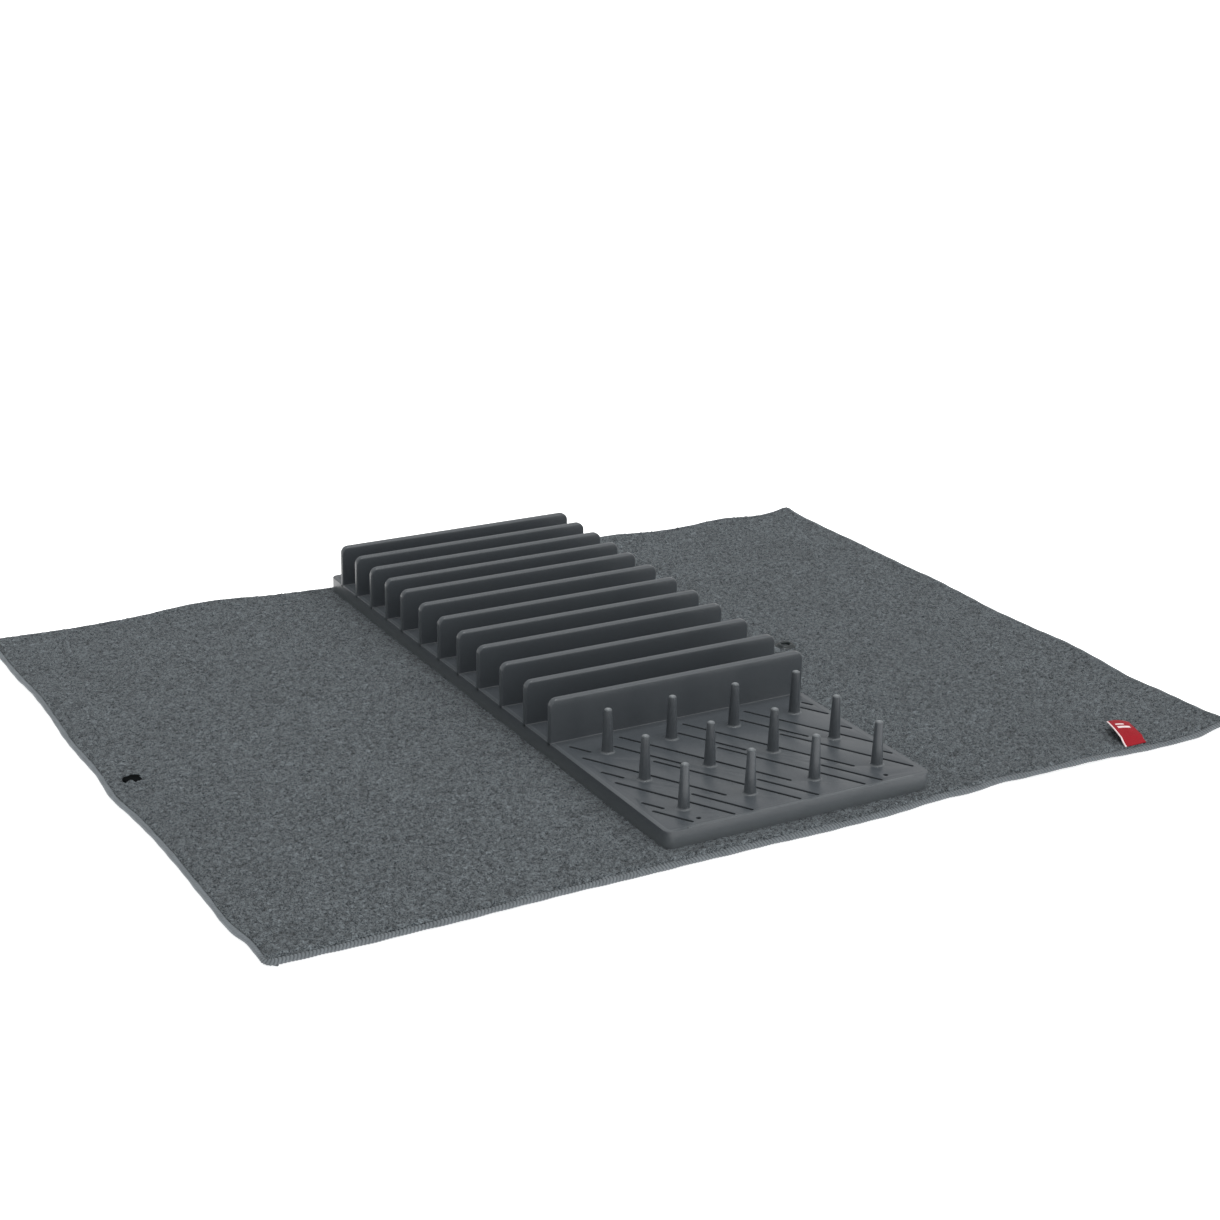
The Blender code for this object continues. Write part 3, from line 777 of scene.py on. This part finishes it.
def build_mat(finishes):
    us, spans = columns()
    reach = HALF_Y - PILE_EDGE
    vs = np.linspace(-reach, reach, round(2 * reach / CELL) + 1)
    surface, painted_pile_shade = pile(us, vs)
    for name, (_, _, first, second, fold) in PIECES.items():
        i0, i1 = spans[name]
        mine = us[i0:i1 + 1]
        keep_u, keep_v = coarse(mine, SPARSE, fold), coarse(vs, SPARSE)
        top = slab(f"{name}_terry_pile", mine, vs, surface[i0:i1 + 1], CORE_Z, keep_u, keep_v,
                   finishes["terry"])
        # painted pile shade: the top follows the pile's relief, the underside takes a fixed value
        pile_shade = np.full(len(top.data.vertices), 0.3)
        pile_shade[:mine.size * len(vs)] = painted_pile_shade[i0:i1 + 1].ravel()
        store(top, "pile", pile_shade)

        sparse_u, sparse_v = mine[keep_u], vs[keep_v]
        everything = (np.arange(len(sparse_u)), np.arange(len(sparse_v)))
        under = slab(f"{name}_backing_cloth", sparse_u, sparse_v, CORE_Z - BACKING_GAP, BACKING_Z,
                     *everything, finishes["backing"])
        hem = build_hem(f"{name}_hem", hem_lines(name), finishes["binding"])
        top_nodes, under_nodes, hem_nodes = stands_for(name)
        for item, slot, nodes in ((top, "terry_pile", top_nodes), (under, "backing_cloth", under_nodes),
                                  (hem, "binding_thread", hem_nodes)):
            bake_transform(item)
            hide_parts(*nodes)


# ---------------------------------------------------------------- rack

# The slots lean by SLOT_LEAN from the front-to-back line; their places are given on the line y = SLOT_Y
SLOT_W, SLOT_LEAN, SLOT_Y = 1.9, math.radians(30), -154.0
SLOT_SLOPE = math.tan(SLOT_LEAN)
SLOT_X0, SLOT_X1, SLOT_PITCH = -67.0, 92.0, 42.0
# (x where the family's first line crosses SLOT_Y, lines, front end, back end)
SLOT_FAMILIES = [
    (-44.0, 4, -193.5, -98.0), (-65.5, 4, -216.0, -136.0), (-17.0, 4, -147.0, -108.0),
    (-54.0, 4, -216.0, -183.0), (-33.3, 1, -110.0, -97.0), (-56.5, 1, -149.0, -135.0),
    (-82.3, 1, -193.0, -180.0), (-89.0, 1, -214.0, -192.0), (95.0, 1, -149.5, -142.0),
    (117.5, 1, -109.0, -102.0),
]
PIN_HOLES, PIN_R = ((-49.5, -211.0), (71.3, -211.0)), 1.4
LIP_X0, LIP_X1, LIP_W, LIP_H = -61.0, 84.0, 1.7, 0.5
BASE_CORNER, DECK_T, WALL_T, EDGE_R = 5.0, 2.4, 2.4, 0.35
DECK_INSET, DECK_CORNER, DECK_EASE = 2.7, 2.3, 0.22


def clipped(x_at, front, back):
    """The stretch of a slot line between two depths that stays inside the side margins."""
    back = min(back, SLOT_Y - (SLOT_X0 - x_at) / SLOT_SLOPE)
    front = max(front, SLOT_Y - (SLOT_X1 - x_at) / SLOT_SLOPE)
    return (front, back) if back - front > 4 else None


def drain_slots():
    """Every slot as (x on its line, front, back): the peg area's, then those between the fins."""
    slots = []
    for first, lines, front, back in SLOT_FAMILIES:
        slots += [(first + SLOT_PITCH * k, front, back) for k in range(lines)]
    for (_, near), (far, _) in zip(FINS, FINS[1:]):
        front, back = near.y + 3.5, far.y - 3.5
        shift = (far.y - SLOT_Y) * SLOT_SLOPE
        first = SLOT_X0 + shift + (SLOT_PITCH - shift) % (SLOT_PITCH / 2)
        slots += [(first + SLOT_PITCH / 2 * k, front, back) for k in range(9)]
    placed = [(x_at, clipped(x_at, front, back)) for x_at, front, back in slots]
    return [(x_at, *ends) for x_at, ends in placed if ends]


def rounded_rectangle(x0, x1, y0, y1, radius, steps=8):
    """Counter-clockwise outline."""
    outline = []
    for cx, cy, first in ((x1 - radius, y0 + radius, -90), (x1 - radius, y1 - radius, 0),
                          (x0 + radius, y1 - radius, 90), (x0 + radius, y0 + radius, 180)):
        for k in range(steps + 1):
            angle = math.radians(first + 90 * k / steps)
            outline.append((cx + radius * math.cos(angle), cy + radius * math.sin(angle)))
    return outline


def stadium(centre, length, width, lean):
    """A slot's outline: straight sides with round ends, its length leaning by an angle from +Y."""
    steps = 5
    ahead = np.array([math.sin(-lean), math.cos(lean)])
    side = np.array([ahead[1], -ahead[0]])
    outline = []
    for end in (1, -1):
        middle = np.array(centre) + ahead * end * (length - width) / 2
        for k in range(steps + 1):
            angle = math.pi * k / steps
            outline.append(middle + (side * math.cos(angle) + ahead * math.sin(angle)) * end * width / 2)
    return [tuple(p) for p in outline]


def flat_plate(name, outlines, z0, z1, ease, finish):
    """Extrudes a flat shape with holes between two heights, with every rim eased."""
    curve = bpy.data.curves.new(name, "CURVE")
    curve.dimensions, curve.fill_mode = "2D", "BOTH"
    curve.extrude, curve.bevel_depth, curve.bevel_resolution = ((z1 - z0) / 2 - ease) * MM, ease * MM, 2
    curve.offset = -ease * MM
    for outline in outlines:
        spline = curve.splines.new("POLY")
        spline.points.add(len(outline) - 1)
        for point, (x, y) in zip(spline.points, outline):
            point.co = (x * MM, y * MM, 0, 1)
        spline.use_cyclic_u = True
    mesh = drawn_mesh(name, curve, finish)
    grid = bmesh.new()
    grid.from_mesh(mesh)
    bmesh.ops.remove_doubles(grid, verts=grid.verts, dist=0.000005)
    bmesh.ops.translate(grid, verts=grid.verts, vec=(0, 0, (z0 + z1) / 2 * MM))
    grid.to_mesh(mesh)
    grid.free()
    item = bpy.data.objects.new(name, mesh)
    bpy.context.scene.collection.objects.link(item)
    mesh.shade_smooth()
    mark_sharp(item, 25)
    return item


def ring(name, levels, finish):
    """A closed ring swept round the base: levels are (inset, z) round its section."""
    loops = []
    for inset, z in levels:
        outline = rounded_rectangle(RACK_X0 + inset, RACK_X1 - inset, RACK_Y0 + inset, RACK_Y1 - inset,
                                    BASE_CORNER - inset)
        loops.append([(x, y, z) for x, y in outline])
    count = len(loops[0])
    faces = []
    for k in range(len(loops)):
        faces += strip(k * count, (k + 1) % len(loops) * count, count)
    item = keep(name, [p for loop in loops for p in loop], faces, finish)
    mark_sharp(item, 35)
    return item


def arc(cx, cz, radius, first, last, steps):
    """Points on an arc in a section, between two angles in degrees."""
    angles = [math.radians(first + (last - first) * k / steps) for k in range(steps + 1)]
    return [(cx + radius * math.cos(a), cz + radius * math.sin(a)) for a in angles]


def build_base(finish):
    """The rim with its rounded shoulder, the slotted deck inside it, and the front lip."""
    low = BASE_LOW.z - SINK
    shoulder = arc(EDGE_R, DECK_TOP - EDGE_R, EDGE_R, 180, 90, 7)
    section = [(WALL_T - 0.3, low), (0.3, low), (0.08, low + 0.1), (0.0, low + 0.4), *shoulder,
               (2.9, DECK_TOP), (2.9, DECK_TOP - DECK_T), (WALL_T, DECK_TOP - DECK_T), (WALL_T, low + 0.3)]
    rim = ring("rack_rim", section, finish)
    # painted light: paler towards the foot, where the mat beside it shades the rim
    down = np.array([(DECK_TOP - vertex.co.z / MM) / (DECK_TOP - low) for vertex in rim.data.vertices])
    store(rim, "wear_and_painted_light", 0.23 * np.clip(down - 0.10, 0, 1))
    outlines = [rounded_rectangle(RACK_X0 + DECK_INSET, RACK_X1 - DECK_INSET, RACK_Y0 + DECK_INSET,
                                  RACK_Y1 - DECK_INSET, DECK_CORNER)]
    for x_at, front, back in drain_slots():
        middle = (front + back) / 2
        centre = (x_at + (SLOT_Y - middle) * SLOT_SLOPE, middle)
        outlines.append(stadium(centre, (back - front) / math.cos(SLOT_LEAN), SLOT_W, SLOT_LEAN))
    for x, y in PIN_HOLES:
        outlines.append(circle(PIN_R, 16, x, y))
    deck = flat_plate("rack_slotted_deck", outlines, DECK_TOP - DECK_T, DECK_TOP - 0.005, DECK_EASE, finish)
    outline = rounded_rectangle(LIP_X0, LIP_X1, RACK_Y0 + 0.06, RACK_Y0 + 0.06 + LIP_W, 0.8, 5)
    lip = flat_plate("rack_front_lip", [outline], DECK_TOP - 2.0, DECK_TOP + LIP_H, 0.3, finish)
    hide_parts("rack_skirt_front", "rack_skirt_back", "rack_skirt_left", "rack_skirt_right")
    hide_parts("rack_deck")
    for item in (rim, deck, lip):
        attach(item, "rack")


def fin_mesh(length, thickness, low, high, finish):
    """One fin about its own middle: round top corners, eased edges and a fillet that runs into the deck."""
    corner, ease, fillet, root = 5.0, 0.95, 0.45, 2.2
    half, foot = length / 2, low - root

    def ring_at(z, reach, thick):
        """A loop round the fin at one height: a long rectangle with eased vertical edges."""
        loop = []
        e = min(ease, thick - 0.01)
        for sx, sy, first in ((1, -1, -90), (1, 1, 0), (-1, 1, 90), (-1, -1, 180)):
            for k in range(4):
                a = math.radians(first + 30 * k)
                loop.append((sx * (reach - e) + e * math.cos(a), sy * (thick - e) + e * math.sin(a), z))
        return loop

    # the root inside the base, the fillet, the plain body, then the rounded top
    rings = [ring_at(foot, half - 0.6, thickness / 2 - 0.2), ring_at(foot + 0.5, half, thickness / 2)]
    for degrees in (0, 25, 50, 75, 90):
        a = math.radians(degrees)
        rings.append(ring_at(low - 0.02 + fillet * (1 - math.cos(a)), half,
                             thickness / 2 + fillet * (1 - math.sin(a))))
    for k in range(1, 6):
        rings.append(ring_at((high - corner) * k / 5 + (low + fillet) * (1 - k / 5), half, thickness / 2))
    for k in range(1, 10):
        a = math.radians(90 * k / 9)
        z = high - corner + corner * math.sin(a)
        gone = max(0.0, z - (high - ease))
        thick = thickness / 2 - ease + math.sqrt(max(ease * ease - gone * gone, 0.0))
        rings.append(ring_at(z, half - corner + corner * math.cos(a), max(thick, 0.2)))
    count, last = len(rings[0]), len(rings) - 1
    faces = []
    for k in range(last):
        faces += strip(k * count, (k + 1) * count, count)
    faces.append(tuple(range(count))[::-1])
    faces.append(tuple(range(last * count, (last + 1) * count)))
    item = keep("fin", [p for loop in rings for p in loop], faces, finish)
    mark_sharp(item, 40)
    mesh = item.data
    bpy.data.objects.remove(item, do_unlink=True)
    return mesh


def place_copies(kind, mesh, boxes, cad_kind):
    """One object of the mesh at the middle of each CAD box, numbered as the CAD nodes are."""
    for i, (low, high) in enumerate(boxes):
        item = bpy.data.objects.new(f"{kind}_{i + 1:02d}", mesh)
        item.location = ((low.x + high.x) / 2 * MM, (low.y + high.y) / 2 * MM, 0)
        bpy.context.scene.collection.objects.link(item)
        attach(item, "rack")
        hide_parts(f"{cad_kind}_{i + 1:02d}")


def build_fins(finish):
    low, high = FINS[0]
    mesh = fin_mesh(high.x - low.x, high.y - low.y, DECK_TOP, high.z, finish)
    place_copies("rack_fin", mesh, FINS, "plate_fin")


def lathe(top_z, profile, sides, x=0.0, y=0.0):
    """Points and faces turned about a vertical axis, from its top point down a profile of (radius, z)."""
    points = [(x, y, top_z)]
    for radius, z in profile:
        points += [(px, py, z) for px, py in circle(radius, sides, x, y)]
    faces = [(0, 1 + i, 1 + (i + 1) % sides) for i in range(sides)]
    for upper in range(1, 1 + (len(profile) - 1) * sides, sides):
        lower = upper + sides
        for i in range(sides):
            j = (i + 1) % sides
            faces.append((upper + i, lower + i, lower + j, upper + j))
    return points, faces


def build_pegs(finish):
    """Turned pegs: a low domed top with a round edge, a slight taper and a flare that runs into the deck."""
    sides = 32
    high = PEGS[0][1]
    tip, waist, flare, edge, dome = 2.3, 3.35, 1.3, 1.15, 0.22
    profile = [(r, high.z - dome * (r / (tip - edge)) ** 2) for r in (0.4, 0.8)]
    for degrees in (0, 18, 36, 54, 72, 86):
        a = math.radians(degrees)
        profile.append((tip - edge + edge * math.sin(a), high.z - dome - edge * (1 - math.cos(a))))
    for k in range(1, 6):
        t = k / 6
        profile.append((tip + (waist - tip) * t, (high.z - dome - edge) * (1 - t) + (DECK_TOP + flare) * t))
    for degrees in (0, 22, 45, 67, 90):
        a = math.radians(degrees)
        profile.append((waist + flare * (1 - math.cos(a)), DECK_TOP - 0.02 + flare * (1 - math.sin(a))))
    profile.append((waist + flare - 0.3, DECK_TOP - 1.2))
    points, faces = lathe(high.z, profile, sides)
    faces.append(tuple(range(len(points) - sides, len(points)))[::-1])
    item = keep("peg", points, faces, finish)
    # paler on the worn tip, and a painted highlight on the flare's shoulder: the top point, then each loop
    wear_and_painted_light = [0.50, 0.50, 0.42, 0.26, 0.20, 0.12, 0.05] + [0.0] * 8 + [0.04, 0.12, 0.08, 0.0, 0.0]
    store(item, "wear_and_painted_light", [wear_and_painted_light[0]] + [amount for amount in wear_and_painted_light[1:] for _ in range(sides)])
    mark_sharp(item, 40)
    mesh = item.data
    bpy.data.objects.remove(item, do_unlink=True)
    place_copies("rack_peg", mesh, PEGS, "cup_peg")


# ---------------------------------------------------------------- snaps and label

def turned(name, profile, centre, finish):
    """A turned piece from (radius, z) points down its outer side; the first and last lie on the axis."""
    sides = 40
    points, faces = lathe(profile[0][1], profile[1:-1], sides, centre.x, centre.y)
    last = len(points) - sides
    points.append((centre.x, centre.y, profile[-1][1]))
    faces += [(last + (i + 1) % sides, last + i, len(points) - 1) for i in range(sides)]
    item = keep(name, points, faces, finish)
    mark_sharp(item, 40)
    return item


def build_snaps(dull, glossy):
    cap = [(0, 4.95), (1.2, 4.93), (2.4, 4.98), (3.3, 5.06), (4.3, 5.02), (5.1, 4.82), (5.7, 4.5),
           (5.95, 4.15), (5.9, 3.8), (5.4, 3.6), (1.8, 3.6), (1.8, 2.7), (0, 2.7)]
    socket = [(0, 4.15), (2.2, 4.15), (2.75, 4.2), (2.95, 4.4), (3.0, 5.5), (3.3, 5.85), (4.0, 6.0),
              (4.7, 5.9), (5.2, 5.5), (5.5, 5.0), (6.2, 4.75), (6.65, 4.55), (6.7, 4.3), (6.4, 4.0),
              (1.8, 4.0), (0, 4.0)]
    for name, profile, centre, body, cad, finish in (
            ("left_snap_dome", cap, SNAP_LEFT, "left_flap", "left_snap_cap", dull),
            ("right_snap_ring", socket, SNAP_RIGHT, "right_riser", "right_snap_socket", glossy)):
        item = turned(name, profile, centre, finish)
        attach(item, body)
        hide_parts(cad)
    for name in ("left_snap_stud", "right_snap_cap"):
        mesh = frame["nodes"][name].data
        mesh.materials.clear()
        mesh.materials.append(glossy)


def build_label(finish):
    """A folded woven label: it rises from the hem, leans to one side and curls at its free end."""
    low, high = node_box("hem_label")
    width, length, thick = high.x - low.x, 26.4, 0.45
    rows, cols = 30, 14
    base, squash_z, squash_keep = Vector((238.0, -227.0, 4.6)), 4.0, 0.3
    middle = []
    for i in range(rows + 1):
        s = i / rows
        for j in range(cols + 1):
            a = j / cols - 0.5
            lean = 6.8 * s ** 2
            rise = 2.1 + 3.4 * math.sin(math.pi * min(1.0, s * 0.85)) - 0.6 * s
            curl = 1.6 * (s ** 2) * (0.5 - a) + 1.0 * math.sin(math.pi * (a + 0.5)) * s
            curl -= 1.4 * (a + 0.5) * math.sin(math.pi * 0.9 * s)
            middle.append((base.x + lean + a * width * (1 - 0.06 * s),
                           base.y + length * 0.93 * s - 2.6 * a * s,
                           base.z + rise * min(1.0, 5 * s) + curl))
    middle = np.array(middle).reshape(rows + 1, cols + 1, 3)
    along = np.gradient(middle, axis=0)
    across = np.gradient(middle, axis=1)
    normals = np.cross(across, along)
    normals /= np.linalg.norm(normals, axis=2)[..., None]
    top = (middle + normals * thick / 2).reshape(-1, 3)
    under = (middle - normals * thick / 2).reshape(-1, 3)
    grid = np.arange((rows + 1) * (cols + 1)).reshape(rows + 1, cols + 1)
    low_grid = grid + grid.size
    faces = np.stack([grid[:-1, :-1], grid[:-1, 1:], grid[1:, 1:], grid[1:, :-1]], -1).reshape(-1, 4).tolist()
    faces += np.stack([low_grid[:-1, :-1], low_grid[1:, :-1], low_grid[1:, 1:], low_grid[:-1, 1:]],
                      -1).reshape(-1, 4).tolist()
    border = [*grid[0, :], *grid[1:, -1], *grid[-1, -2::-1], *grid[-2:0:-1, 0]]
    for a, b in zip(border, border[1:] + border[:1]):
        faces.append((b, a, a + grid.size, b + grid.size))
    item = keep("hem_label_ribbon", np.concatenate([top, under]), [[int(i) for i in face] for face in faces],
                finish)
    weave = np.zeros((rows + 1, cols + 1, 3))
    weave[..., 0] = np.linspace(0, width, cols + 1)[None, :]
    weave[..., 1] = np.linspace(0, length, rows + 1)[:, None]
    store(item, "weave", np.concatenate([weave.reshape(-1, 3)] * 2))
    mark_sharp(item, 60)
    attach(item, "right_flap")
    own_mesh(item)
    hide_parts("hem_label")


build_camera()
build_studio()
CLOTHS = {"terry": terry_material(), "backing": backing_material(), "binding": hem_material()}
PLASTIC = plastic_material()
build_mat(CLOTHS)
build_thread_end(CLOTHS["binding"])
build_base(PLASTIC)
build_fins(PLASTIC)
build_pegs(PLASTIC)
build_snaps(snap_material("snap_dull", rough=0.7, shine=0.02, grey=0.0042),
            snap_material("snap_glossy", rough=0.34, shine=0.3, grey=0.030))
build_label(label_material())
